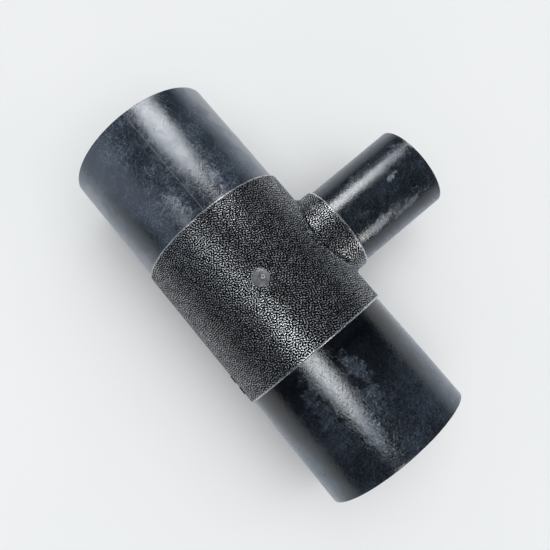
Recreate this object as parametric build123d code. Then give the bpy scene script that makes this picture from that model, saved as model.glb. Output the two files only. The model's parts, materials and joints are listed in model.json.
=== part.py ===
"""Reducing tee of black polyethylene with long plain ends for butt fusion, 90 x 50 mm.

The run lies along Y and the branch leaves along +X. The origin is where the two axes cross.
The real fitting is one moulding. Here each zone of it is a solid of its own, and the zones
meet face to face. Lengths are in millimetres.
"""
import os

from build123d import *

os.makedirs("parts", exist_ok=True)

# Ends: the outer diameters of the pipes that the fitting joins, and their SDR 11 walls.
RUN_OD = 90.0
RUN_WALL = 8.2
BRANCH_OD = 50.0
BRANCH_WALL = 4.6

# Reach of each end from the crossing of the axes.
RUN_REACH = 113.0
BRANCH_REACH = 111.0

# The textured barrel in the middle of the run, proud of the spigots.
BARREL_REACH = 45.2
BARREL_STEP = 1.2
SHOULDER_ROUND = 0.7

# The textured collar that the branch grows from.
COLLAR_REACH = 55.0
COLLAR_STEP = 1.3
COLLAR_LIP_ROUND = 0.9
COLLAR_ROOT_ROUND = 3.0
COLLAR_MARGIN = 1.0

# Edges of the plain ends and of the meeting of the two bores.
END_ROUND = 0.4
MOUTH_CHAMFER = 0.6
BORE_CORNER_ROUND = 2.0

# Round insert mark and sprue stub on top of the barrel.
GATE_RADIUS = 4.6
GATE_DEPTH = 0.5
GATE_THICKNESS = 2.0
GATE_DISH_RADIUS = 32.0
GATE_DISH_DEPTH = 0.25
NUB_RADIUS = 1.25
NUB_HEIGHT = 0.95
NUB_ROUND = 0.3
NUB_HOLE_RADIUS = 0.4
NUB_HOLE_DEPTH = 0.6
NUB_PLACE = Pos(1.2, -0.3, 0)

# Parting ridges along the top and bottom of the run spigots.
RIDGE_WIDTH = 0.5
RIDGE_HEIGHT = 0.15

# Plain raised bars on the barrel, opposite the branch.
BAR_COUNT = 2
BAR_WIDTH = 5.0
BAR_HEIGHT = 0.40
BAR_GAP = 2.9
BAR_EDGE_DISTANCE = 6.4
BAR_HALF_ANGLE = 11.0
BAR_CORNER_ROUND = 1.2

# Radii that follow from the sizes above.
RUN_R = RUN_OD / 2
RUN_BORE_R = RUN_R - RUN_WALL
BRANCH_R = BRANCH_OD / 2
BRANCH_BORE_R = BRANCH_R - BRANCH_WALL
BARREL_R = RUN_R + BARREL_STEP
COLLAR_R = BRANCH_R + COLLAR_STEP
COLLAR_ZONE_R = COLLAR_R + COLLAR_ROOT_ROUND + COLLAR_MARGIN


def rod_y(radius, y_low, y_high):
    """Solid cylinder about the run axis."""
    start = Plane(origin=(0, y_low, 0), z_dir=(0, 1, 0))
    return extrude(start * Circle(radius), y_high - y_low)


def rod_x(radius, x_low, x_high):
    """Solid cylinder about the branch axis."""
    start = Plane(origin=(x_low, 0, 0), z_dir=(1, 0, 0))
    return extrude(start * Circle(radius), x_high - x_low)


def rod_z(radius, z_low, z_high):
    """Solid cylinder about the vertical through the crossing of the axes."""
    start = Plane(origin=(0, 0, z_low), z_dir=(0, 0, 1))
    return extrude(start * Circle(radius), z_high - z_low)


def centre_moulding():
    """The barrel and the collar as one piece, bored, before it is divided."""
    barrel = rod_y(BARREL_R, -BARREL_REACH, BARREL_REACH)
    barrel = fillet(barrel.edges().filter_by(GeomType.CIRCLE), SHOULDER_ROUND)
    boss = rod_x(COLLAR_R, 0, COLLAR_REACH)
    whole = barrel + boss
    root = [e for e in whole.edges() if is_saddle(e, COLLAR_R)]
    whole = fillet(root, COLLAR_ROOT_ROUND)
    lip = whole.edges().filter_by(GeomType.CIRCLE).sort_by(Axis.X)[-1]
    whole = fillet(lip, COLLAR_LIP_ROUND)
    bores = rod_y(RUN_BORE_R, -BARREL_REACH, BARREL_REACH) + rod_x(BRANCH_BORE_R, 0, COLLAR_REACH)
    whole = whole - bores
    corner = [e for e in whole.edges() if is_saddle(e, BRANCH_BORE_R)]
    return fillet(corner, BORE_CORNER_ROUND)


def is_saddle(edge, radius):
    """True for the curved edge that a cylinder about the branch axis cuts in one about the run."""
    box = edge.bounding_box()
    closed_ring = abs(box.size.Z - 2 * radius) < 0.1 and abs(box.size.Y - 2 * radius) < 0.1
    return closed_ring and box.size.X > 1.0


def gate_pocket_floor():
    return BARREL_R - GATE_DEPTH


def collar_zone():
    """The block of space that the collar takes out of the centre moulding."""
    return rod_x(COLLAR_ZONE_R, 0, COLLAR_REACH + 1.0)


def barrel_zone(whole):
    """Textured barrel with its through bore, the opening for the collar and the gate pocket."""
    pocket = rod_z(GATE_RADIUS, gate_pocket_floor() - GATE_THICKNESS, BARREL_R + 1.0)
    return whole - collar_zone() - pocket


def branch_collar(whole):
    """Textured boss with a rounded root, a rounded lip and its piece of the barrel wall."""
    return whole & collar_zone()


def run_spigot(direction):
    """Plain weld end of the run; direction is +1 or -1 along Y."""
    near = BARREL_REACH * direction
    far = RUN_REACH * direction
    tube = rod_y(RUN_R, min(near, far), max(near, far))
    tube = fillet(outermost_circle(tube, Axis.Y, direction), END_ROUND)
    tube = tube - rod_y(RUN_BORE_R, min(near, far), max(near, far))
    return chamfer(mouth_circle(tube, Axis.Y, direction, RUN_BORE_R), MOUTH_CHAMFER)


def branch_spigot():
    """Plain weld end of the branch."""
    tube = rod_x(BRANCH_R, COLLAR_REACH, BRANCH_REACH)
    tube = fillet(outermost_circle(tube, Axis.X, 1), END_ROUND)
    tube = tube - rod_x(BRANCH_BORE_R, COLLAR_REACH, BRANCH_REACH)
    return chamfer(mouth_circle(tube, Axis.X, 1, BRANCH_BORE_R), MOUTH_CHAMFER)


def outermost_circle(tube, axis, direction):
    """The circular edge furthest out along an axis, in the direction given."""
    ordered = tube.edges().filter_by(GeomType.CIRCLE).sort_by(axis)
    return ordered[-1] if direction > 0 else ordered[0]


def mouth_circle(tube, axis, direction, radius):
    """The edge of the bore at the open end of a spigot."""
    rings = [e for e in tube.edges().filter_by(GeomType.CIRCLE) if abs(e.radius - radius) < 0.01]
    ordered = ShapeList(rings).sort_by(axis)
    return ordered[-1] if direction > 0 else ordered[0]


def gate_disc():
    """Smooth round insert mark with a shallow dish, set just below the barrel's surface."""
    floor = gate_pocket_floor()
    disc = rod_z(GATE_RADIUS, floor - GATE_THICKNESS, floor)
    ball_height = floor - GATE_DISH_DEPTH + GATE_DISH_RADIUS
    dish = Pos(0, 0, ball_height) * Sphere(GATE_DISH_RADIUS)
    seat = NUB_PLACE * rod_z(NUB_RADIUS, floor - GATE_THICKNESS / 2, floor)
    return disc - dish - seat


def gate_nub():
    """Stub of the sprue, seated in the disc, with the small hole that snapping it off left."""
    base = gate_pocket_floor() - GATE_THICKNESS / 2
    top = gate_pocket_floor() - GATE_DISH_DEPTH + NUB_HEIGHT
    nub = rod_z(NUB_RADIUS, base, top)
    nub = fillet(nub.edges().filter_by(GeomType.CIRCLE).sort_by(Axis.Z)[-1], NUB_ROUND)
    return NUB_PLACE * (nub - rod_z(NUB_HOLE_RADIUS, top - NUB_HOLE_DEPTH, top))


def parting_ridges(direction):
    """Two thin ridges, on the top and bottom lines of one run spigot."""
    near = BARREL_REACH * direction
    far = (RUN_REACH - END_ROUND) * direction
    low = min(near, far)
    high = max(near, far)
    skin = rod_y(RUN_R + RIDGE_HEIGHT, low, high) - rod_y(RUN_R, low, high)
    strip = Pos(0, (low + high) / 2, 0) * Box(RIDGE_WIDTH, high - low, 2 * BARREL_R)
    return skin & strip


def marking_bars():
    """Plain bars that stand proud of the barrel on the side away from the branch."""
    bars = []
    for i in range(BAR_COUNT):
        y_mid = -BARREL_REACH + BAR_EDGE_DISTANCE + BAR_WIDTH / 2 + i * (BAR_WIDTH + BAR_GAP)
        bars.append(marking_bar(y_mid))
    return Compound(children=bars)


def marking_bar(y_mid):
    """One bar: a rectangle with rounded corners, pushed through the skin of the barrel."""
    y_low = y_mid - BAR_WIDTH / 2
    y_high = y_mid + BAR_WIDTH / 2
    skin = rod_y(BARREL_R + BAR_HEIGHT, y_low, y_high) - rod_y(BARREL_R, y_low, y_high)
    across = 2 * BARREL_R * sin_degrees(BAR_HALF_ANGLE)
    outline = RectangleRounded(BAR_WIDTH, across, BAR_CORNER_ROUND)
    face = Plane(origin=(0, y_mid, 0), x_dir=(0, 1, 0), z_dir=(-1, 0, 0)) * outline
    return skin & extrude(face, BARREL_R + 2 * BAR_HEIGHT)


def sin_degrees(angle):
    """Sine of an angle in degrees."""
    return Vector(1, 0, 0).rotate(Axis.Z, angle).Y


def save(node, shape):
    """Write one node as a STEP file named after it."""
    shape.label = node
    export_step(shape, f"parts/{node}.step")


centre = centre_moulding()
save("barrel", barrel_zone(centre))
save("branch_collar", branch_collar(centre))
save("run_spigot_a", run_spigot(1))
save("run_spigot_b", run_spigot(-1))
save("branch_spigot", branch_spigot())
save("gate_disc", gate_disc())
save("gate_nub", gate_nub())
save("parting_ridge_a", parting_ridges(1))
save("parting_ridge_b", parting_ridges(-1))
save("marking_bars", marking_bars())
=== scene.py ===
import json
import math

import bmesh
import bpy
import numpy as np
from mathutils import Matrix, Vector


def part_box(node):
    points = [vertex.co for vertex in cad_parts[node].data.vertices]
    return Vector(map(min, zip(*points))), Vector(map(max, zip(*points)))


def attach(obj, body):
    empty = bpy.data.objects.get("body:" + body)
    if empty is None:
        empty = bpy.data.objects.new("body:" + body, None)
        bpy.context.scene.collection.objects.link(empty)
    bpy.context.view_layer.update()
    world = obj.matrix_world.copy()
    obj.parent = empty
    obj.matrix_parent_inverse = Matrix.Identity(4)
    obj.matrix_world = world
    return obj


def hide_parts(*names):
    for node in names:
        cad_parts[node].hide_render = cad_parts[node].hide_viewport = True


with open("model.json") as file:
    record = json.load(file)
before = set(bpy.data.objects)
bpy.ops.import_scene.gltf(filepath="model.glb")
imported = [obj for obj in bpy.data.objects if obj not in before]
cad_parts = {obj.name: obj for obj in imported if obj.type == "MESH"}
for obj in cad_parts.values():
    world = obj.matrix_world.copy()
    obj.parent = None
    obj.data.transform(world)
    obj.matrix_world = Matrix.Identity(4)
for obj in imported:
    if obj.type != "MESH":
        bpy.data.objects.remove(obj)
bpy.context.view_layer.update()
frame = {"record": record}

# Looks of a black polyethylene reducing tee. The run lies along Y, the branch leaves along +X and
# the injection point is on top. Everything is in metres, in the frame of the CAD model.

MM = 0.001

# ---------------------------------------------------------------- sizes, read from the frame
mount_dims = {m["name"]: m["dims"] for m in frame["record"]["mounts"]}
RUN_R = mount_dims["run_spigot_a"]["r_mm"] * MM
RUN_BORE_R = mount_dims["run_bore"]["r_mm"] * MM
BRANCH_R = mount_dims["branch_spigot"]["r_mm"] * MM
BRANCH_BORE_R = mount_dims["branch_bore"]["r_mm"] * MM
BARREL_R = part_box("barrel")[1].z
BARREL_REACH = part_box("barrel")[1].y
RUN_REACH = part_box("run_spigot_a")[1].y
COLLAR_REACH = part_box("branch_collar")[1].x
COLLAR_ZONE_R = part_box("branch_collar")[1].z
BRANCH_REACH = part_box("branch_spigot")[1].x
GATE_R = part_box("gate_disc")[1].x
GATE_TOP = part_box("gate_disc")[1].z
GATE_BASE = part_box("gate_disc")[0].z
NUB_LOW, NUB_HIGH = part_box("gate_nub")
NUB_R = (NUB_HIGH.x - NUB_LOW.x) / 2
NUB_CENTRE = (NUB_LOW + NUB_HIGH) / 2
BARS_LOW, BARS_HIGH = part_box("marking_bars")
RIDGE_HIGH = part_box("parting_ridge_a")[1]

# Edge details that a bounding box doesn't give.
SHOULDER_ROUND = 0.7 * MM
COLLAR_R = BRANCH_R + 1.3 * MM
COLLAR_ROOT_ROUND = 3.0 * MM
COLLAR_LIP_ROUND = 0.9 * MM
BORE_CORNER_ROUND = 2.0 * MM
END_ROUND = 0.4 * MM
MOUTH_CHAMFER = 0.6 * MM
BAR_COUNT = 2
BAR_WIDTH = 5.0 * MM
BAR_CORNER_ROUND = 1.2 * MM
BAR_EDGE_ROUND = 0.4 * MM

# Each parting ridge is worn down over this length before its clean end. Ridge A isn't worn at all.
RIDGE_FADE = 10 * MM
RIDGE_A_CLEAN_END = RUN_REACH + RIDGE_FADE
RIDGE_B_CLEAN_END = RUN_REACH - 15 * MM

# How far hidden edges of one piece reach under the surface of its neighbour.
TUCK = 0.3 * MM
BARREL_SEAT = 1.0 * MM
COLLAR_SEAT = 0.5 * MM

# Grain of the barrel and the collar.
GRAIN_PITCH = 1.06 * MM
GRAIN_DEPTH = 0.12 * MM
GRAIN_FADE = 0.5 * MM

# Shallow groove in the barrel around the injection mark.
GROOVE_WIDTH = 0.4 * MM
GROOVE_DEPTH = 0.12 * MM


# ---------------------------------------------------------------- random fields
def wave_field(points, pitch, seed, count=80, spread=0.18):
    """A random field around 0, of deviation 1, made of waves of nearly one length in every direction."""
    rng = np.random.default_rng(seed)
    aim = rng.normal(size=(count, 3))
    aim /= np.linalg.norm(aim, axis=1)[:, None]
    turns = 2 * math.pi / pitch * (1 + spread * rng.uniform(-1, 1, count))
    phase = rng.uniform(0, 2 * math.pi, count)
    total = np.zeros(len(points))
    for direction, turn, start in zip(aim, turns, phase):
        total += np.cos(points @ (direction * turn) + start)
    return total * math.sqrt(2 / count)


def surface_field(points, outward, pitch, seed, count=200, spread=0.36):
    """wave_field on a curved surface: waves that run into the surface are left out, which
    keeps the pitch even. outward is the surface's direction at each point."""
    rng = np.random.default_rng(seed)
    aim = rng.normal(size=(count, 3))
    aim /= np.linalg.norm(aim, axis=1)[:, None]
    turns = 2 * math.pi / pitch * (1 + spread * rng.uniform(-1, 1, count))
    phase = rng.uniform(0, 2 * math.pi, count)
    total = np.zeros(len(points))
    power = np.zeros(len(points))
    for direction, turn, start in zip(aim, turns, phase):
        share = (1 - (outward @ direction) ** 2) ** 6
        total += share * np.cos(points @ (direction * turn) + start)
        power += share ** 2
    return total / np.sqrt(power / 2)


def smooth_step(low, high, value):
    t = np.clip((value - low) / (high - low), 0, 1)
    return t * t * (3 - 2 * t)


def grain(points, outward, clear):
    """The moulded grain, short raised worms with pits between, where clear is 1, fading to none at 0.

    Returns how far the surface drops, and its height: 0 in the pits, 1 on the tops.
    """
    field = surface_field(points, outward, GRAIN_PITCH, seed=11)
    strength = 1 + 0.15 * wave_field(points, 14 * MM, seed=12, count=24)
    below = 0.5 - 0.5 * np.tanh(1.8 * field)
    height = np.clip(0.5 + 0.4 * field, 0, 1)
    return GRAIN_DEPTH * np.clip(strength, 0.7, 1.2) * below * clear, 1 - (1 - height) * clear


# ---------------------------------------------------------------- mesh building
class Shell:
    """A mesh under construction: points with their grain height, and faces with their material."""

    plain_height = 0.7  # of points where there is no grain

    def __init__(self):
        self.points = []
        self.heights = []
        self.count = 0
        self.faces = []
        self.marks = []

    def add(self, points, heights=None):
        first = self.count
        self.points.append(np.asarray(points, float))
        self.heights.append(np.full(len(points), self.plain_height) if heights is None else heights)
        self.count += len(points)
        return np.arange(first, self.count)

    def face(self, corners, mark):
        self.faces.append([int(c) for c in corners])
        self.marks.append(mark)

    def strip(self, ring_a, ring_b, mark):
        """Quads between two closed rings of equally many points."""
        for k in range(len(ring_a)):
            m = (k + 1) % len(ring_a)
            self.face((ring_a[k], ring_a[m], ring_b[m], ring_b[k]), mark)

    def coarsen(self, fine, coarse, mark):
        """Polygons from a closed ring to one with fewer points, such as a quarter as many."""
        step = len(fine) // len(coarse)
        for k in range(len(coarse)):
            m = (k + 1) % len(coarse)
            edge = [fine[(k * step + i) % len(fine)] for i in range(step + 1)]
            self.face([*edge, coarse[m], coarse[k]], mark)

    def fan(self, ring, centre, mark):
        for k in range(len(ring)):
            self.face((ring[k], ring[(k + 1) % len(ring)], centre), mark)

    def build(self, name, materials, sharp_degrees=50):
        mesh = bpy.data.meshes.new(name)
        mesh.from_pydata(np.concatenate(self.points).tolist(), [], self.faces)
        for material in materials:
            mesh.materials.append(material)
        mesh.polygons.foreach_set("material_index", self.marks)
        heights = mesh.attributes.new("grain", "FLOAT", "POINT")
        heights.data.foreach_set("value", np.concatenate(self.heights))
        mesh.shade_smooth()
        orient_outwards(mesh)
        mesh.set_sharp_from_angle(angle=math.radians(sharp_degrees))
        piece = bpy.data.objects.new(name, mesh)
        bpy.context.scene.collection.objects.link(piece)
        return piece


def orient_outwards(mesh):
    """Turns every face of a closed mesh to point out of its solid."""
    work = bmesh.new()
    work.from_mesh(mesh)
    bmesh.ops.recalc_face_normals(work, faces=work.faces)
    work.to_mesh(mesh)
    work.free()


def spaced(stops, cells):
    """Grid lines through the stops, with that many cells between each two."""
    lines = [np.linspace(a, b, n, endpoint=False) for a, b, n in zip(stops, stops[1:], cells)]
    return np.concatenate([*lines, [stops[-1]]])


def punched_sheet(shell, place, u_lines, v_lines, holes, mark):
    """A sheet that closes on itself in u, with round holes, as quads.

    place turns (u, v) into points and grain heights. A hole is (i0, i1, j0, j1, ring, layers): the
    block of cells that it replaces, a function that gives its ring's (u, v) for shares of a turn,
    and its ring count. Returns the point numbers of the low edge, the high edge and each hole's ring.
    """
    nu = len(u_lines) - 1
    nv = len(v_lines) - 1
    keep = np.ones((nu, nv + 1), bool)
    cells = np.ones((nu, nv), bool)
    for i0, i1, j0, j1, _, _ in holes:
        rows = np.arange(i0 + 1, i1) % nu
        keep[np.ix_(rows, np.arange(j0 + 1, j1))] = False
        cells[np.ix_(np.arange(i0, i1) % nu, np.arange(j0, j1))] = False
    number = np.full(keep.shape, -1)
    uu, vv = np.meshgrid(u_lines[:-1], v_lines, indexing="ij")
    number[keep] = shell.add(*place(np.stack([uu[keep], vv[keep]], 1)))
    for i, j in zip(*np.nonzero(cells)):
        n = (i + 1) % nu
        shell.face((number[i, j], number[n, j], number[n, j + 1], number[i, j + 1]), mark)
    rings = []
    for i0, i1, j0, j1, ring, layers in holes:
        edge = [(i, j0) for i in range(i0, i1)] + [(i1, j) for j in range(j0, j1)]
        edge += [(i, j1) for i in range(i1, i0, -1)] + [(i0, j) for j in range(j1, j0, -1)]
        outer = np.array([number[i % nu, j] for i, j in edge])
        outer_uv = np.array([(u_lines[i], v_lines[j]) for i, j in edge])
        inner_uv = ring(np.arange(len(edge)) / len(edge))
        for layer in range(1, layers + 1):
            share = layer / layers
            blend = (1 - share) * outer_uv + share * inner_uv
            inner = shell.add(*place(blend))
            shell.strip(outer, inner, mark)
            outer = inner
        rings.append(outer)
    return number[:, 0], number[:, -1], rings


def lathe(name, profile, segments, axis, materials, marks, warp=None):
    """A closed outline of (along, radius) points turned about an axis ("X", "Y" or "Z").

    A radius of 0 is a pole. marks gives the material of the strip after each point. warp moves
    the points of a ring, given its distance along the axis and its radius.
    """
    shell = Shell()
    turn = np.linspace(0, 2 * math.pi, segments, endpoint=False)
    rings = []
    for along, radius in profile:
        angles = turn if radius > 0 else turn[:1]
        points = on_axis(axis, np.full(len(angles), along), radius * np.cos(angles), radius * np.sin(angles))
        rings.append(shell.add(points if warp is None else warp(points, along, radius)))
    for k, ring in enumerate(rings):
        after = rings[(k + 1) % len(rings)]
        if len(ring) == 1 and len(after) == 1:
            continue
        if len(ring) == 1:
            shell.fan(after, ring[0], marks[k])
        elif len(after) == 1:
            shell.fan(ring, after[0], marks[k])
        else:
            shell.strip(ring, after, marks[k])
    return shell.build(name, materials)


def on_axis(axis, along, across, up):
    """Points from a distance along an axis and two distances off it."""
    columns = {"X": (along, across, up), "Y": (across, along, up), "Z": (across, up, along)}
    return np.stack(columns[axis], 1)


# ---------------------------------------------------------------- materials
def new_material(name, color, roughness):
    """A Principled material; returns it with its node tree and shader."""
    material = bpy.data.materials.new(name)
    material.use_nodes = True
    tree = material.node_tree
    shader = tree.nodes["Principled BSDF"]
    shader.inputs["Base Color"].default_value = (*color, 1)
    shader.inputs["Roughness"].default_value = roughness
    shader.inputs["IOR"].default_value = 1.52
    return material, tree, shader


def node(tree, kind, inputs=None, **settings):
    """Adds a node, sets its properties, and fills or links its inputs."""
    made = tree.nodes.new(kind)
    for key, value in settings.items():
        setattr(made, key, value)
    for key, value in (inputs or {}).items():
        if isinstance(value, bpy.types.NodeSocket):
            tree.links.new(value, made.inputs[key])
        else:
            made.inputs[key].default_value = value
    return made


def place_in_object(tree, scale):
    """Object coordinates in metres, scaled along X, Y and Z."""
    coordinates = node(tree, "ShaderNodeTexCoord").outputs["Object"]
    return node(tree, "ShaderNodeMapping", {"Vector": coordinates, "Scale": scale}).outputs["Vector"]


def noise(tree, vector, scale, detail=2.0, roughness=0.5, distortion=0.0):
    made = node(tree, "ShaderNodeTexNoise", {
        "Vector": vector, "Scale": scale, "Detail": detail,
        "Roughness": roughness, "Distortion": distortion,
    })
    return made.outputs["Fac"]


def ramp(tree, value, low, high, out_low=0.0, out_high=1.0, linear=False):
    """Maps a value from low..high to out_low..out_high, clamped, and smoothly unless linear."""
    made = node(tree, "ShaderNodeMapRange", {
        "Value": value, "From Min": low, "From Max": high, "To Min": out_low, "To Max": out_high,
    }, interpolation_type="LINEAR" if linear else "SMOOTHSTEP")
    return made.outputs["Result"]


def math_node(tree, operation, a, b):
    made = tree.nodes.new("ShaderNodeMath")
    made.operation = operation
    for socket, value in zip(made.inputs, (a, b)):
        if isinstance(value, bpy.types.NodeSocket):
            tree.links.new(value, socket)
        else:
            socket.default_value = value
    return made.outputs[0]


SHEEN_TINT = (0.66, 0.81, 1.0, 1)


def textured_material(name, sheen, grazing):
    """Matt black plastic: grey tops with a polished skin and dark pits. The pale tops are partly wear
    and mostly painted glints; the pale edges are a painted edge highlight along with rubbing.

    The mesh's grain attribute is 0 in the pits, 1 on the tops and up to 2 on an edge with a painted
    highlight; it is lowered in the collar's crease for painted shade.
    grazing: how much paler the tops are painted where the surface is seen edge on, a painted sheen.
    """
    material, tree, shader = new_material(name, (0.004, 0.0042, 0.0048), 0.6)
    vector = place_in_object(tree, (1, 1, 1))
    height = node(tree, "ShaderNodeAttribute", attribute_name="grain").outputs["Fac"]
    specks = noise(tree, vector, 1500.0, detail=1.0)
    patches = noise(tree, vector, 45.0, detail=3.0)
    # Painted glints: the grain tops are painted pale grey, partly wear, and specks paint some tops brighter.
    tops = ramp(tree, height, 0.56, 0.74)
    glint_and_wear = math_node(tree, "MULTIPLY", tops, ramp(tree, patches, 0.3, 0.7, 0.7, 1.0))
    glint_and_wear = math_node(tree, "MULTIPLY", glint_and_wear, ramp(tree, specks, 0.40, 0.62, 0.15, 1.8))
    # Painted sheen: the tops are painted paler still where the surface is seen edge on.
    painted_grazing_sheen = ramp(tree, node(tree, "ShaderNodeLayerWeight").outputs["Facing"], 0.3, 0.75, 1.0, grazing)
    glint_and_wear = math_node(tree, "MULTIPLY", glint_and_wear, painted_grazing_sheen)
    # Painted edge highlight along with rubbing: pale where the grain attribute goes over 1, broken up by
    # patches.
    edges = ramp(tree, height, 1.0, 2.0)
    rubbing_and_painted_light = math_node(tree, "MULTIPLY", edges, ramp(tree, patches, 0.38, 0.62, 0.1, 1.1))
    glint_and_wear = math_node(tree, "MAXIMUM", glint_and_wear, rubbing_and_painted_light)
    # Base colour: near black in the pits, pale grey where the painted glints, sheen, edge highlight and wear
    # are.
    link_color(tree, shader, glint_and_wear, (0.0004, 0.0005, 0.0007), (0.150, 0.162, 0.180))
    pits = noise(tree, vector, 1300.0, detail=2.0)
    bump = node(tree, "ShaderNodeBump", {"Strength": 0.6, "Distance": 0.00015, "Height": pits})
    tree.links.new(bump.outputs["Normal"], shader.inputs["Normal"])
    tree.links.new(bump.outputs["Normal"], shader.inputs["Coat Normal"])
    tree.links.new(ramp(tree, height, 0.40, 0.65, 0.9, 0.5), shader.inputs["Roughness"])
    tree.links.new(ramp(tree, height, 0.54, 0.72, 0.0, 1.0), shader.inputs["Coat Weight"])
    shader.inputs["Coat Roughness"].default_value = 0.22
    shader.inputs["Coat IOR"].default_value = 2.1
    shader.inputs["Specular IOR Level"].default_value = 0.05
    shader.inputs["Sheen Weight"].default_value = sheen
    shader.inputs["Sheen Roughness"].default_value = 0.3
    shader.inputs["Sheen Tint"].default_value = SHEEN_TINT
    return material


def link_color(tree, shader, share, dark, light):
    """Base colour from dark, where share is 0, to light."""
    mix = node(tree, "ShaderNodeMix", data_type="RGBA", clamp_factor=False)
    tree.links.new(share, mix.inputs["Factor"])
    mix.inputs[6].default_value = (*dark, 1)
    mix.inputs[7].default_value = (*light, 1)
    tree.links.new(mix.outputs[2], shader.inputs["Base Color"])


def smooth_material(name, axis, radius, haze_and_sheen_stops, marks):
    """Glossy black plastic, scuffed and hazed by handling on the sides that lie up or down. The other
    sides get an even haze that is painted paler where seen edge on, a painted sheen.

    haze_and_sheen_stops: how much haze there is, and how strong the painted sheen on the sides is, as
    (share of the run's length, amount).
    marks: patches with more, as scuff_and_reflection_marks takes them; a few are painted reflections.
    """
    material, tree, shader = new_material(name, (0.003, 0.0033, 0.004), 0.15)
    place = place_in_object(tree, (1, 1, 1))
    parts = node(tree, "ShaderNodeSeparateXYZ", {"Vector": place}).outputs
    outward = node(tree, "ShaderNodeNewGeometry").outputs["Normal"]
    lift = node(tree, "ShaderNodeSeparateXYZ", {"Vector": outward}).outputs["Z"]
    across = parts["X"] if axis == "Y" else parts["Y"]
    arc = math_node(tree, "MULTIPLY", math_node(tree, "ARCTAN2", across, parts["Z"]), radius)
    flat = node(tree, "ShaderNodeCombineXYZ", {"X": arc, "Y": parts[axis]}).outputs["Vector"]

    # How much haze there is along the run; on the sides it also sets how strong the painted sheen is.
    share = ramp(tree, parts[axis], -RUN_REACH, RUN_REACH, linear=True)
    rubbing_and_painted_light = node(tree, "ShaderNodeValToRGB", {"Fac": share})
    set_stops(rubbing_and_painted_light.color_ramp, haze_and_sheen_stops)
    patches = ramp(tree, noise(tree, place, 55.0, detail=4.0, roughness=0.6), 0.34, 0.66, 0.45, 1.0)
    general = math_node(tree, "MULTIPLY", rubbing_and_painted_light.outputs["Color"], patches)
    ragged = noise(tree, place, 320.0, detail=4.0, roughness=0.65)
    amount = math_node(tree, "MAXIMUM", general, scuff_and_reflection_marks(tree, flat, ragged, marks))

    swirl = ramp(tree, noise(tree, place, 330.0, detail=4.0, roughness=0.62, distortion=3.0), 0.36, 0.66)
    strokes = math_node(tree, "ADD", hair_strokes(tree, flat, 35), hair_strokes(tree, flat, -20))
    strokes = math_node(tree, "ADD", strokes, hair_strokes(tree, flat, 75))
    fine = noise(tree, place, 1300.0, detail=3.0, roughness=0.65)
    scuffs = math_node(tree, "MULTIPLY", swirl, 0.5)
    scuffs = math_node(tree, "ADD", scuffs, math_node(tree, "MULTIPLY", strokes, 0.38))
    scuffs = math_node(tree, "ADD", scuffs, 0.27)
    scuffs = math_node(tree, "MULTIPLY", scuffs, ramp(tree, fine, 0.3, 0.7, 0.55, 1.45))
    # Painted sheen: sides that don't lie up or down get an even haze painted paler where seen edge on; the
    # top and bottom get the scuffs.
    faces_up = ramp(tree, math_node(tree, "ABSOLUTE", lift, 0.0), 0.60, 0.95)
    painted_grazing_sheen = ramp(tree, node(tree, "ShaderNodeLayerWeight").outputs["Facing"], 0.35, 0.8, 0.55, 3.0)
    side_sheen_and_scuffs = node(tree, "ShaderNodeMix", {"Factor": faces_up, "A": painted_grazing_sheen, "B": scuffs}, data_type="FLOAT")
    haze_and_sheen = math_node(tree, "MULTIPLY", side_sheen_and_scuffs.outputs["Result"], amount)

    # Base colour from near black to bluish grey: haze and scuffs on the top and bottom, painted sheen on the
    # other sides, and painted reflections in a few marks.
    tint = node(tree, "ShaderNodeValToRGB", {"Fac": math_node(tree, "MULTIPLY", haze_and_sheen, 0.5)})
    set_stops(tint.color_ramp, (
        (0.0, (0.0007, 0.0010, 0.0016)), (0.5, (0.066, 0.088, 0.122)), (1.0, (0.19, 0.205, 0.23)),
    ))
    tree.links.new(tint.outputs["Color"], shader.inputs["Base Color"])
    dull = math_node(tree, "ADD", haze_and_sheen, math_node(tree, "MULTIPLY", fine, 0.35))
    tree.links.new(ramp(tree, dull, 0.1, 1.6, 0.13, 0.38), shader.inputs["Roughness"])
    sag = noise(tree, place, 35.0, detail=1.0)
    cuts = math_node(tree, "MULTIPLY", scuffs, 0.08)
    height = math_node(tree, "ADD", math_node(tree, "MULTIPLY", sag, 0.6), cuts)
    bump = node(tree, "ShaderNodeBump", {"Strength": 0.6, "Distance": 0.0006, "Height": height})
    tree.links.new(bump.outputs["Normal"], shader.inputs["Normal"])
    shader.inputs["Sheen Weight"].default_value = 0.42
    shader.inputs["Sheen Roughness"].default_value = 0.3
    shader.inputs["Sheen Tint"].default_value = SHEEN_TINT
    return material


def hair_strokes(tree, flat, turn):
    """Fine straight scratches, turned from the length of the part by that many degrees."""
    spin = (0, 0, math.radians(turn))
    turned = node(tree, "ShaderNodeMapping", {"Vector": flat, "Rotation": spin}).outputs["Vector"]
    long = node(tree, "ShaderNodeMapping", {"Vector": turned, "Scale": (1, 0.10, 1)}).outputs["Vector"]
    return ramp(tree, noise(tree, long, 1000.0, detail=2.0, roughness=0.6, distortion=0.5), 0.54, 0.70)


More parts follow.
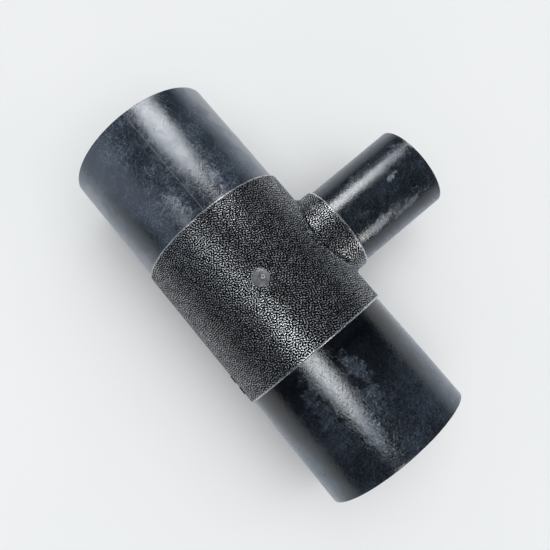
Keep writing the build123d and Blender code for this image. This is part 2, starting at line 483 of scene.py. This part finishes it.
def scuff_and_reflection_marks(tree, flat, ragged, marks):
    """How strongly the surface is scuffed there, from oval marks with ragged, fading edges; a few marks
    are painted reflections and highlights.

    A mark is (along, arc, half length, half width, slant in degrees, strength), lengths in mm, where
    arc is measured on the surface from the top line.
    """
    total = 0.0
    edge = math_node(tree, "MULTIPLY", math_node(tree, "SUBTRACT", ragged, 0.5), 2.6)
    for along, arc, half_length, half_width, slant, strength in marks:
        local = node(tree, "ShaderNodeMapping", {
            "Vector": flat, "Location": (arc * MM, along * MM, 0), "Rotation": (0, 0, math.radians(slant)),
            "Scale": (half_width * MM, half_length * MM, 1),
        }, vector_type="TEXTURE").outputs[0]
        off = node(tree, "ShaderNodeVectorMath", {0: local}, operation="LENGTH").outputs["Value"]
        off = math_node(tree, "ADD", off, edge)
        total = math_node(tree, "MAXIMUM", total, ramp(tree, off, 1.1, 0.3, 0.0, strength))
    return total


def set_stops(color_ramp, stops):
    """Greys or colours at positions from 0 to 1 along a colour ramp."""
    while len(color_ramp.elements) < len(stops):
        color_ramp.elements.new(0.5)
    for element, (position, color) in zip(color_ramp.elements, stops):
        element.position = position
        element.color = (*np.broadcast_to(color, 3), 1)


def pale_material(name, scale, dark, light, roughness):
    """Plastic paled by cutting, tearing or rubbing, with a fine swirl; on parting ridge A the pale tone
    is also a painted highlight.
    """
    material, tree, shader = new_material(name, dark, roughness)
    swirl = noise(tree, place_in_object(tree, (1, 1, 1)), scale, detail=5.0, roughness=0.6, distortion=1.5)
    link_color(tree, shader, ramp(tree, swirl, 0.3, 0.7), dark, light)
    tree.links.new(ramp(tree, swirl, 0.3, 0.7, roughness, roughness + 0.15), shader.inputs["Roughness"])
    bump = node(tree, "ShaderNodeBump", {"Strength": 0.5, "Distance": 0.0001, "Height": swirl})
    tree.links.new(bump.outputs["Normal"], shader.inputs["Normal"])
    return material


def bar_material():
    """The raised bars: dull deep black, hardly touched by wear."""
    material, tree, shader = new_material("bar_pe", (0.001, 0.001, 0.001), 0.5)
    vector = place_in_object(tree, (1, 1, 1))
    dust = noise(tree, vector, 900.0, detail=4.0)
    link_color(tree, shader, ramp(tree, dust, 0.5, 0.8), (0.0008, 0.0008, 0.001), (0.012, 0.012, 0.014))
    tree.links.new(ramp(tree, dust, 0.3, 0.7, 0.45, 0.65), shader.inputs["Roughness"])
    shader.inputs["Specular IOR Level"].default_value = 0.08
    return material


def floor_material():
    """A plain pale sheet, very slightly uneven in tone; reflections see it painted darker with distance, a
    painted shade.
    """
    material, tree, shader = new_material("floor", (0.86, 0.865, 0.87), 0.7)
    place = place_in_object(tree, (1, 1, 1))
    tone = noise(tree, place, 4.0, detail=2.0)
    # Painted shade for reflections only: glossy rays see the floor darker with distance, standing in for a
    # dark room past the table.
    reach = node(tree, "ShaderNodeVectorMath", {0: place}, operation="LENGTH").outputs["Value"]
    far = ramp(tree, reach, 0.2, 0.7, 0.0, 6.0)
    painted_far_dark = math_node(tree, "MULTIPLY", far, node(tree, "ShaderNodeLightPath").outputs["Is Glossy Ray"])
    tone = math_node(tree, "SUBTRACT", ramp(tree, tone, 0.3, 0.7), painted_far_dark)
    link_color(tree, shader, tone, (0.83, 0.85, 0.86), (0.855, 0.87, 0.88))
    tree.links.new(ramp(tree, tone, 0.0, 1.0, 0.65, 0.75), shader.inputs["Roughness"])
    shader.inputs["Specular IOR Level"].default_value = 0.0
    return material


# Scuffs and two painted light patches: (along, arc, half length, half width, slant, strength), as
# scuff_and_reflection_marks takes them.
RUN_MARKS = (
    (57, -8.5, 13, 3.4, 19, 2.1),
    # Painted reflection: a pale patch beside spigot A's highlight, near the barrel.
    (57, 17.0, 13, 4.6, -8, 1.8),
    (84, 7.0, 32, 9.0, 0, 1.3),
    (-64, 7.5, 12, 5.0, 15, 0.8),
    (-80, 5.0, 11, 8.0, 0, 0.8),
    # Painted highlight along with haze: the fading tail of spigot B's highlight.
    (-90, -6.0, 20, 7.0, 0, 1.0),
    (-74, -20.0, 26, 8.0, 0, 0.55),
    (-62, -12.0, 16, 7.0, 0, 0.7),
)
BRANCH_MARKS = (
    (71, -17.0, 11, 3.8, -8, 1.9),
    (89, -19.5, 15, 2.4, -6, 1.5),
    (91, -0.5, 5.0, 2.2, -6, 2.2),
    (103, 9.0, 8, 9.0, 0, 1.0),
    (76, 13.5, 15, 3.0, 0, 0.9),
    (66, -7.0, 8, 4.0, 30, 0.5),
)
textured = textured_material("textured_pe", 0.05, 3.0)
textured_collar = textured_material("textured_collar_pe", 0.3, 4.0)
smooth_run = smooth_material("smooth_pe_run", "Y", RUN_R,
                             ((0.0, 0.7), (0.13, 0.5), (0.27, 0.04), (0.71, 1.0), (1.0, 1.1)), RUN_MARKS)
smooth_branch = smooth_material("smooth_pe_branch", "X", BRANCH_R,
                                ((0.0, 0.4), (0.75, 0.4), (1.0, 0.6)), BRANCH_MARKS)
gate_face = pale_material("gate_face_pe", 500.0, (0.06, 0.064, 0.07), (0.14, 0.145, 0.155), 0.24)
gate_tear = pale_material("gate_tear_pe", 1500.0, (0.14, 0.14, 0.15), (0.42, 0.42, 0.44), 0.25)
# Ridge A is painted paler than ridge B: a painted highlight where the key light falls, along with rubbing.
seam_pale = pale_material("seam_pale_pe", 500.0, (0.04, 0.044, 0.05), (0.20, 0.21, 0.225), 0.25)
seam_dark = pale_material("seam_dark_pe", 500.0, (0.012, 0.014, 0.016), (0.12, 0.13, 0.145), 0.2)
bar = bar_material()


# ---------------------------------------------------------------- barrel
def on_cylinder(uv, radius):
    """Points on a cylinder about the run: u is the arc from +X towards +Z, v is Y."""
    angle = uv[:, 0] / radius
    return np.stack([radius * np.cos(angle), uv[:, 1], radius * np.sin(angle)], 1)


def branch_ring(radius, ring_radius):
    """(u, v) of a circle about the branch axis where it lies on a cylinder about the run."""
    def ring(share):
        turn = 2 * math.pi * share - 0.75 * math.pi
        rise = ring_radius * np.cos(turn)
        return np.stack([radius * np.arcsin(rise / radius), ring_radius * np.sin(turn)], 1)
    return ring


def gate_ring(share):
    """(u, v) on the barrel of the circle around the injection point."""
    turn = 2 * math.pi * share - 0.75 * math.pi
    side = GATE_R * np.cos(turn)
    top = BARREL_R * math.pi / 2
    return np.stack([top + BARREL_R * np.arcsin(side / BARREL_R), GATE_R * np.sin(turn)], 1)


def barrel_surface(uv):
    """Outer surface of the barrel with its grain, which fades out at every edge."""
    points = on_cylinder(uv, BARREL_R)
    off_shoulder = BARREL_REACH - SHOULDER_ROUND - np.abs(points[:, 1])
    off_gate = np.hypot(points[:, 0], points[:, 1]) - GATE_R
    off_gate[points[:, 2] < 0] = 1.0
    clear = np.minimum(smooth_step(0, GRAIN_FADE, off_shoulder), smooth_step(0, GRAIN_FADE, off_gate))
    outward = points * (1, 0, 1) / BARREL_R
    drop, heights = grain(points, outward, clear)
    drop += GROOVE_DEPTH * (1 - np.clip(off_gate / GROOVE_WIDTH, 0, 1)) ** 2
    return points - outward * drop[:, None], heights


def make_barrel():
    """The grained outside with holes for collar and injection mark, the shoulders and the bore."""
    shell = Shell()
    flat = BARREL_REACH - SHOULDER_ROUND
    girth = 2 * math.pi * BARREL_R
    top = girth / 4
    side = COLLAR_ZONE_R + 3.2 * MM
    gate = 7.0 * MM
    side_cells = 208
    gate_cells = 44
    u_counts = (side_cells, 100, gate_cells, 552)
    v_counts = (35, (side_cells - gate_cells) // 2, gate_cells, (side_cells - gate_cells) // 2, 35)
    u_stops = (-side, side, top - gate, top + gate, girth - side)
    v_stops = (-flat, -side, -gate, gate, side, flat)
    u_lines = spaced(u_stops, u_counts)
    v_lines = spaced(v_stops, v_counts)
    gate_u = u_counts[0] + u_counts[1]
    gate_v = v_counts[0] + v_counts[1]
    holes = [
        (0, side_cells, v_counts[0], v_counts[0] + side_cells, branch_ring(BARREL_R, COLLAR_ZONE_R), 40),
        (gate_u, gate_u + gate_cells, gate_v, gate_v + gate_cells, gate_ring, 10),
    ]
    low, high, rings = punched_sheet(shell, barrel_surface, u_lines, v_lines, holes, 0)
    bore_low, bore_high, bore_ring = bore_sheet(shell, len(u_lines) // 4, side_cells // 4)
    turn = u_lines[:-1] / BARREL_R
    for edge, bore_edge, end in ((low, bore_low, -1), (high, bore_high, 1)):
        for bend in np.radians(np.arange(18, 91, 18)):
            radius = BARREL_R - SHOULDER_ROUND * (1 - math.cos(bend))
            along = end * (flat + SHOULDER_ROUND * math.sin(bend))
            # Painted edge highlight along with rubbing: the middle of each shoulder round gets grain heights
            # up to 2, which the material paints pale.
            glint_and_wear = np.full(len(turn), 1 + math.sin(2 * bend))
            ring = shell.add(circle_about_run(turn, radius, along), glint_and_wear)
            shell.strip(edge, ring, 0)
            edge = ring
        seat = shell.add(circle_about_run(turn, RUN_R - BARREL_SEAT, end * BARREL_REACH))
        shell.strip(edge, seat, 1)
        shell.coarsen(seat, bore_edge, 1)
    shell.coarsen(rings[0], bore_ring, 1)
    pocket = shell.add(circle_about_z(len(rings[1]), GATE_R, GATE_BASE))
    shell.strip(rings[1], pocket, 1)
    shell.face(pocket, 1)
    return shell.build("barrel_skin", [textured, smooth_run])


def circle_about_run(turn, radius, along):
    return np.stack([radius * np.cos(turn), np.full(len(turn), along), radius * np.sin(turn)], 1)


def circle_about_z(count, radius, height):
    """A circle that starts and turns as gate_ring does."""
    turn = 2 * math.pi * np.arange(count) / count - 0.75 * math.pi
    return np.stack([-radius * np.cos(turn), radius * np.sin(turn), np.full(count, height)], 1)


def bore_sheet(shell, around, hole_cells):
    """The run's bore inside the barrel, with a quarter of the outside's points around."""
    girth = 2 * math.pi * RUN_BORE_R
    side = COLLAR_ZONE_R + 6.0 * MM
    u_lines = spaced((-side, side, girth - side), (hole_cells, around - hole_cells))
    v_lines = spaced((-BARREL_REACH, -side, side, BARREL_REACH), (5, hole_cells, 5))
    hole = (0, hole_cells, 5, 5 + hole_cells, branch_ring(RUN_BORE_R, COLLAR_ZONE_R), 8)

    def place(uv):
        return on_cylinder(uv, RUN_BORE_R), None

    low, high, rings = punched_sheet(shell, place, u_lines, v_lines, [hole], 1)
    return low, high, rings[0]


# ---------------------------------------------------------------- collar
def saddle(turn, ring_radius, cylinder_radius):
    """Angle about the run and Y of a circle about the branch, on a cylinder about the run."""
    return np.arcsin(ring_radius * np.cos(turn) / cylinder_radius), ring_radius * np.sin(turn)


def ball_centres(turn, ring_radius, cylinder_radius):
    rise = ring_radius * np.cos(turn)
    return np.stack([np.sqrt(cylinder_radius ** 2 - rise ** 2), ring_radius * np.sin(turn), rise], 1)


def between(start, end, centre, share):
    """Points on the arcs about centre from start to end."""
    a = start - centre
    b = end - centre
    cos_angle = np.sum(a * b, 1) / (np.linalg.norm(a, axis=1) * np.linalg.norm(b, axis=1))
    angle = np.arccos(np.clip(cos_angle, -1, 1))[:, None]
    return centre + (np.sin((1 - share) * angle) * a + np.sin(share * angle) * b) / np.sin(angle)


def on_saddle(angle, y, radius):
    return np.stack([radius * np.cos(angle), y, radius * np.sin(angle)], 1)


def around_branch(turn, radius, along):
    along = np.broadcast_to(along, turn.shape)
    return np.stack([along, radius * np.sin(turn), radius * np.cos(turn)], 1)


def make_collar():
    """Closed rings up the outside from the barrel, over the lip and back down through the bore."""
    count = 832
    turn = 2 * math.pi * np.arange(count) / count - 0.75 * math.pi
    out = around_branch(turn, 1.0, 0.0)
    # Painted light is added to the grain height: painted crease shade below 0, painted edge highlight above.
    rings = []  # (points, outward direction, share of grain, painted light, material after this ring)

    centre = ball_centres(turn, COLLAR_R + COLLAR_ROOT_ROUND, BARREL_R + COLLAR_ROOT_ROUND)
    foot = centre * np.array([1, 0, 1]) * BARREL_R / (BARREL_R + COLLAR_ROOT_ROUND)
    foot[:, 1] = centre[:, 1]
    head = around_branch(turn, COLLAR_R, centre[:, 0])
    zone_angle, zone_y = saddle(turn, COLLAR_ZONE_R, BARREL_R)
    foot_angle = np.arctan2(foot[:, 2], foot[:, 0])
    for share in np.linspace(0, 1, 4, endpoint=False):
        angle = (1 - share) * zone_angle + share * foot_angle
        points = on_saddle(angle, (1 - share) * zone_y + share * foot[:, 1], BARREL_R)
        rings.append((points, on_saddle(angle, 0 * angle, 1.0), 1.0, 0, 0))
    for share in np.linspace(0, 1, 16):
        points = between(foot, head, centre, share)
        # Painted shade in the crease: the fillet's grain heights are lowered, so fewer tops are painted
        # pale.
        crease_shade = -0.14 * math.sin(math.pi * share)
        rings.append((points, (centre - points) / COLLAR_ROOT_ROUND, 1.0, crease_shade, 0))
    lip_start = COLLAR_REACH - COLLAR_LIP_ROUND
    for share in np.linspace(0, 1, 44)[1:]:
        along = (1 - share) * centre[:, 0] + share * lip_start
        fade = smooth_step(0, GRAIN_FADE, lip_start - along)
        rings.append((around_branch(turn, COLLAR_R, along), out, fade, 0, 0))
    for bend in np.radians(np.arange(15, 91, 15)):
        along = lip_start + COLLAR_LIP_ROUND * math.sin(bend)
        radius = COLLAR_R - COLLAR_LIP_ROUND * (1 - math.cos(bend))
        # Painted edge highlight on the lip: its grain heights are raised, which the material paints pale.
        rings.append((around_branch(turn, radius, along), out, 0.0, 0.35 * math.sin(2 * bend), 0))
    rings.append((around_branch(turn, BRANCH_R - COLLAR_SEAT, COLLAR_REACH), out, 0.0, 0, 1))

    inner = ball_centres(turn, BRANCH_BORE_R + BORE_CORNER_ROUND, RUN_BORE_R + BORE_CORNER_ROUND)
    bore_top = around_branch(turn, BRANCH_BORE_R, inner[:, 0])
    bore_foot = inner * np.array([1, 0, 1]) * RUN_BORE_R / (RUN_BORE_R + BORE_CORNER_ROUND)
    bore_foot[:, 1] = inner[:, 1]
    for share in np.linspace(0, 1, 8, endpoint=False):
        along = (1 - share) * COLLAR_REACH + share * inner[:, 0]
        rings.append((around_branch(turn, BRANCH_BORE_R, along), out, 0.0, 0, 1))
    for share in np.linspace(0, 1, 8):
        rings.append((between(bore_top, bore_foot, inner, share), out, 0.0, 0, 1))
    bore_angle, bore_y = saddle(turn, COLLAR_ZONE_R, RUN_BORE_R)
    foot_angle = np.arctan2(bore_foot[:, 2], bore_foot[:, 0])
    for share in np.linspace(0, 1, 6)[1:]:
        angle = (1 - share) * foot_angle + share * bore_angle
        points = on_saddle(angle, (1 - share) * bore_foot[:, 1] + share * bore_y, RUN_BORE_R)
        rings.append((points, out, 0.0, 0, 1))

    shell = Shell()
    numbers = []
    for points, outward, fade, painted_light, _ in rings:
        drop, heights = grain(points, outward, fade)
        numbers.append(shell.add(points - outward * drop[:, None], heights + painted_light))
    for k, (_, _, _, _, mark) in enumerate(rings):
        shell.strip(numbers[k], numbers[(k + 1) % len(rings)], mark)
    return shell.build("branch_collar_skin", [textured_collar, smooth_branch])


# ---------------------------------------------------------------- spigots
def sunk(points, axis_index):
    """Moulded surface: it wanders inwards by a few hundredths of a millimetre."""
    off = points.copy()
    off[:, axis_index] = 0
    wander = wave_field(points, 38 * MM, seed=21, count=40)
    drop = 0.02 * MM * (wander - 2.0)
    return points + off / np.linalg.norm(off, axis=1)[:, None] * drop[:, None]


def spigot_profile(start, end, radius, bore):
    """Closed outline of a plain end from its root at start to its face at end."""
    side = 1 if end > start else -1
    body = end - side * END_ROUND
    outline = [(a, radius) for a in np.linspace(start, body, 60)]
    outline += [
        (body + side * END_ROUND * math.sin(t), radius - END_ROUND * (1 - math.cos(t)))
        for t in np.radians((22.5, 45, 67.5, 90))
    ]
    outline += [(end, (radius + bore) / 2), (end, bore + MOUTH_CHAMFER)]
    outline += [(a, bore) for a in np.linspace(end - side * MOUTH_CHAMFER, start, 12)]
    return outline


def make_spigot(name, axis, start, end, radius, bore, material):
    """A plain end. Its outside wanders a little, except at its root and its rounded rim."""
    axis_index = "XYZ".index(axis)
    outline = spigot_profile(start, end, radius, bore)

    def warp(points, along, ring_radius):
        if abs(ring_radius - radius) > 1e-9 or abs(along - start) < 1e-9:
            return points
        return sunk(points, axis_index)

    return lathe(name, outline, 288, axis, [material], [0] * len(outline), warp)


# ---------------------------------------------------------------- small features
def make_ridges(name, side, clean_end, material):
    """Half-round beads along the top and the bottom of one run spigot, a little uneven.

    From the distance clean_end along the run, a tenth of their height is left.
    """
    half_width = RIDGE_HIGH.x
    height = RIDGE_HIGH.z - RUN_R
    sink = 0.06 * MM
    along = np.linspace(BARREL_REACH, RUN_REACH - END_ROUND, 150) * side
    bends = np.radians(np.linspace(0, 180, 9))
    shell = Shell()
    for up in (1, -1):
        rings = []
        for y in along:
            spot = np.array([[up * 0.01, y, 0]])
            size = 0.8 + 0.2 * np.clip(wave_field(spot, 5 * MM, seed=31, count=16)[0], -1, 1)
            size *= 0.1 + 0.9 * smooth_step(0, RIDGE_FADE, clean_end - abs(y))
            drift = 0.08 * MM * wave_field(spot, 22 * MM, seed=32, count=16)[0]
            x = drift + half_width * 0.65 * size * np.cos(bends)
            z = RUN_R - sink + (height + sink) * size * np.sin(bends)
            x = np.concatenate([x, [x[-1], x[0]]])
            z = np.concatenate([z, [RUN_R - TUCK] * 2])
            rings.append(shell.add(np.stack([x, np.full(len(x), y), up * z], 1)))
        for ring, after in zip(rings, rings[1:]):
            shell.strip(ring, after, 0)
        shell.face(rings[0], 0)
        shell.face(rings[-1], 0)
    return shell.build(name, [material])


def uneven(points, along, radius):
    """Sinks the disc's face, but not its rim or base, by up to a few hundredths of a millimetre."""
    if along < GATE_TOP - 0.6 * MM or radius > GATE_R - 0.1 * MM:
        return points
    drop = 0.012 * MM * (wave_field(points, 2.4 * MM, seed=51, count=40) - 2)
    return points + np.array([0, 0, 1]) * drop[:, None]


def make_gate_disc():
    """A dished disc that is almost flat in the middle and turns up to its rim."""
    dish = 0.42 * MM
    lip = GATE_R - 0.3 * MM
    outline = [(GATE_BASE, 0), (GATE_BASE, GATE_R), (GATE_TOP - 0.1 * MM, GATE_R)]
    outline += [(GATE_TOP - 0.02 * MM, GATE_R - 0.08 * MM), (GATE_TOP, GATE_R - 0.18 * MM)]
    for radius in np.linspace(lip, 0, 26):
        outline.append((GATE_TOP - 0.02 * MM - dish * (1 - (radius / lip) ** 3), radius))
    return lathe("gate_disc_skin", outline, 128, "Z", [gate_face], [0] * len(outline), uneven)


def make_gate_nub():
    """A low stub with a torn top and a small deep hole, off the middle of the disc."""
    edge = 0.3 * MM
    hole = 0.42 * MM
    hole_depth = 0.6 * MM
    top = NUB_HIGH.z
    outline = [(NUB_LOW.z, 0), (NUB_LOW.z, NUB_R)]
    outline += [(z, NUB_R) for z in np.linspace(NUB_LOW.z, top - edge, 6)[1:]]
    outline += [
        (top - edge + edge * math.sin(t), NUB_R - edge * (1 - math.cos(t)))
        for t in np.radians((22.5, 45, 67.5, 90))
    ]
    outline += [(top, r) for r in np.linspace(NUB_R - edge, hole, 5)[1:]]
    hole_start = len(outline) - 1
    outline += [(top - hole_depth / 2, hole), (top - hole_depth, 0.7 * hole), (top - hole_depth, 0)]
    marks = [0] * hole_start + [1] * (len(outline) - hole_start)

    def torn(points, along, radius):
        moved = points + np.array([NUB_CENTRE.x, NUB_CENTRE.y, 0])
        if along < top - 2 * edge:
            return moved
        drop = 0.06 * MM * np.minimum(wave_field(points, 1.1 * MM, seed=41, count=30) - 1.8, 0)
        return moved + np.array([0, 0, 1]) * drop[:, None]

    return lathe("gate_nub_skin", outline, 64, "Z", [gate_tear, bar], marks, torn)


def make_bars():
    """Plain raised bars with rounded edges, on the side of the barrel away from the branch."""
    shell = Shell()
    half_angle = math.asin(BARS_HIGH.z / BARREL_R)
    top_radius = -BARS_LOW.x
    first = BARS_LOW.y + BAR_WIDTH / 2
    pitch = (BARS_HIGH.y - BARS_LOW.y - BAR_WIDTH) / (BAR_COUNT - 1)
    half_u = half_angle * BARREL_R
    half_v = BAR_WIDTH / 2
    base = BARREL_R - TUCK
    for index in range(BAR_COUNT):
        middle = first + index * pitch
        u = np.linspace(-half_u, half_u, 141)
        v = np.linspace(-half_v, half_v, 27)
        uu, vv = np.meshgrid(u, v, indexing="ij")
        past_u = np.abs(uu) - half_u + BAR_CORNER_ROUND
        past_v = np.abs(vv) - half_v + BAR_CORNER_ROUND
        over = np.hypot(np.maximum(past_u, 0), np.maximum(past_v, 0))
        inset = BAR_CORNER_ROUND - np.maximum(over, np.maximum(past_u, past_v))
        rise = np.sqrt(np.clip(1 - (1 - np.clip(inset / BAR_EDGE_ROUND, 0, 1)) ** 2, 0, 1))
        radius = base + (top_radius - base) * rise
        angle = math.pi + uu / BARREL_R

        def grid(r):
            points = np.stack([r * np.cos(angle), middle + vv, r * np.sin(angle)], 2)
            return shell.add(points.reshape(-1, 3)).reshape(uu.shape)

        top = grid(radius)
        under = grid(np.full(uu.shape, base - BAR_EDGE_ROUND))
        for i in range(len(u) - 1):
            for j in range(len(v) - 1):
                shell.face((top[i, j], top[i + 1, j], top[i + 1, j + 1], top[i, j + 1]), 0)
                shell.face((under[i, j], under[i, j + 1], under[i + 1, j + 1], under[i + 1, j]), 0)
        shell.strip(outline_of(top), outline_of(under), 0)
    return shell.build("marking_bars_skin", [bar])


def outline_of(grid):
    """Point numbers around the edge of a grid, in order."""
    return np.concatenate([grid[:-1, 0], grid[-1, :-1], grid[:0:-1, -1], grid[0, :0:-1]])


# ---------------------------------------------------------------- assembly
barrel = make_barrel()
collar = make_collar()
spigots = [
    make_spigot(f"run_spigot_{letter}_skin", "Y", side * BARREL_REACH, side * RUN_REACH,
                RUN_R, RUN_BORE_R, smooth_run)
    for letter, side in (("a", 1), ("b", -1))
]
branch = make_spigot("branch_spigot_skin", "X", COLLAR_REACH, BRANCH_REACH,
                     BRANCH_R, BRANCH_BORE_R, smooth_branch)
pieces = {
    "barrel": (barrel, "textured_pe"),
    "branch_collar": (collar, "textured_pe"),
    "run_spigot_a": (spigots[0], "smooth_pe"),
    "run_spigot_b": (spigots[1], "smooth_pe"),
    "branch_spigot": (branch, "smooth_pe"),
    "gate_disc": (make_gate_disc(), "smooth_pe"),
    "gate_nub": (make_gate_nub(), "smooth_pe"),
    "parting_ridge_a": (make_ridges("parting_ridge_a_skin", 1, RIDGE_A_CLEAN_END, seam_pale), "smooth_pe"),
    "parting_ridge_b": (make_ridges("parting_ridge_b_skin", -1, RIDGE_B_CLEAN_END, seam_dark), "smooth_pe"),
    "marking_bars": (make_bars(), "smooth_pe"),
}
for cad_node, (piece, slot) in pieces.items():
    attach(piece, "root")
    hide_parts(cad_node)


# ---------------------------------------------------------------- studio
FLOOR_SIZE = 24.0

# The photo's viewpoint: place, turn in degrees, and lens and sensor in millimetres.
CAMERA_PLACE = (-14.42 * MM, -39.14 * MM, 331.91 * MM)
CAMERA_TURN = (8.069, 1.405, -39.942)
CAMERA_LENS = 38.15
CAMERA_SENSOR = 36.0

# Lights for reflections: name, place, width, height, radiance and colour, as soft_box takes them.
# key shows mostly on spigot A, fill on spigot B, strip on the barrel, wall on the sides towards
# -X, and window on the branch collar.
SOFT_BOXES = (
    ("key", (0.129, 0.200, 0.230), 0.11, 0.12, 15.0, (0.96, 1.0, 1.03)),
    ("fill", (-0.088, -0.070, 0.317), 0.10, 0.11, 13.5, (0.95, 1.0, 1.04)),
    ("strip", (-0.130, 0.090, 0.30), 0.07, 0.10, 7.0, (0.95, 1.0, 1.04)),
    ("wall", (-0.85, 0.85, 0.42), 1.0, 1.1, 1.35, (0.76, 0.88, 1.1)),
    ("window", (0.118, -0.58, 0.22), 0.125, 0.22, 19.0, (1.0, 1.0, 1.0)),
)

# Lights for the floor and the haze: name, azimuth, elevation, strength and spread.
SUNS = (
    ("floor_key", 20, 55, 0.62, 60),
    ("floor_top", -60, 80, 1.12, 70),
    ("floor_fill", -45, 60, 0.35, 60),
)


def toward(azimuth, elevation):
    """The unit vector in that direction."""
    a = math.radians(azimuth)
    e = math.radians(elevation)
    return np.array([math.cos(e) * math.cos(a), math.cos(e) * math.sin(a), math.sin(e)])


def soft_box(name, place, width, height, radiance, color):
    """An area light of that radiance for reflections only, at a place in metres, facing the object."""
    light = bpy.data.lights.new(name, "AREA")
    light.shape = "RECTANGLE"
    light.size = width
    light.size_y = height
    light.energy = radiance * math.pi * width * height
    light.color = color
    lamp = bpy.data.objects.new(name, light)
    lamp.location = place
    lamp.rotation_mode = "QUATERNION"
    lamp.rotation_quaternion = Vector(place).to_track_quat("Z", "Y")
    lamp.visible_camera = False
    lamp.visible_diffuse = False
    bpy.context.scene.collection.objects.link(lamp)


def soft_sun(name, azimuth, elevation, strength, spread):
    """Light for the floor and for the haze on the object, with soft shadows and no reflection.

    Azimuth runs from +X towards +Y; all angles are in degrees.
    """
    light = bpy.data.lights.new(name, "SUN")
    light.energy = strength
    light.angle = math.radians(spread)
    lamp = bpy.data.objects.new(name, light)
    lamp.rotation_mode = "QUATERNION"
    lamp.rotation_quaternion = Vector(toward(azimuth, elevation)).to_track_quat("Z", "Y")
    lamp.visible_glossy = False
    bpy.context.scene.collection.objects.link(lamp)


def make_floor():
    shell = Shell()
    half = FLOOR_SIZE / 2
    low = -BARREL_R
    corners = [(-half, -half, low), (half, -half, low), (half, half, low), (-half, half, low)]
    shell.face(shell.add(corners), 0)
    floor = shell.build("floor", [floor_material()])


def make_world():
    """Pale backdrop for the camera, a dim room for reflections and an even sky that lights the rest."""
    world = bpy.data.worlds.new("studio")
    bpy.context.scene.world = world
    world.use_nodes = True
    tree = world.node_tree
    tree.nodes.clear()
    path = node(tree, "ShaderNodeLightPath").outputs
    backdrop = node(tree, "ShaderNodeBackground", {"Color": (0.80, 0.81, 0.82, 1), "Strength": 1.0})
    sky = node(tree, "ShaderNodeBackground", {"Color": (1.0, 1.0, 1.0, 1), "Strength": 0.42})
    room = node(tree, "ShaderNodeBackground", {"Color": (0.75, 0.92, 1.25, 1), "Strength": 0.02})
    sky, room, backdrop = (light.outputs["Background"] for light in (sky, room, backdrop))
    lit = node(tree, "ShaderNodeMixShader", {0: path["Is Glossy Ray"], 1: sky, 2: room}).outputs[0]
    final = node(tree, "ShaderNodeMixShader", {0: path["Is Camera Ray"], 1: lit, 2: backdrop}).outputs[0]
    node(tree, "ShaderNodeOutputWorld", {"Surface": final})


def make_camera():
    """Stands almost above the fitting, as in the photo."""
    data = bpy.data.cameras.new("camera")
    data.lens = CAMERA_LENS
    data.sensor_width = CAMERA_SENSOR
    data.clip_start = 0.01
    camera = bpy.data.objects.new("camera", data)
    camera.location = CAMERA_PLACE
    camera.rotation_euler = [math.radians(angle) for angle in CAMERA_TURN]
    bpy.context.scene.collection.objects.link(camera)
    bpy.context.scene.camera = camera


make_floor()
make_world()
make_camera()
for soft_box_values in SOFT_BOXES:
    soft_box(*soft_box_values)
for sun_values in SUNS:
    soft_sun(*sun_values)
bpy.context.scene.view_settings.view_transform = "Standard"
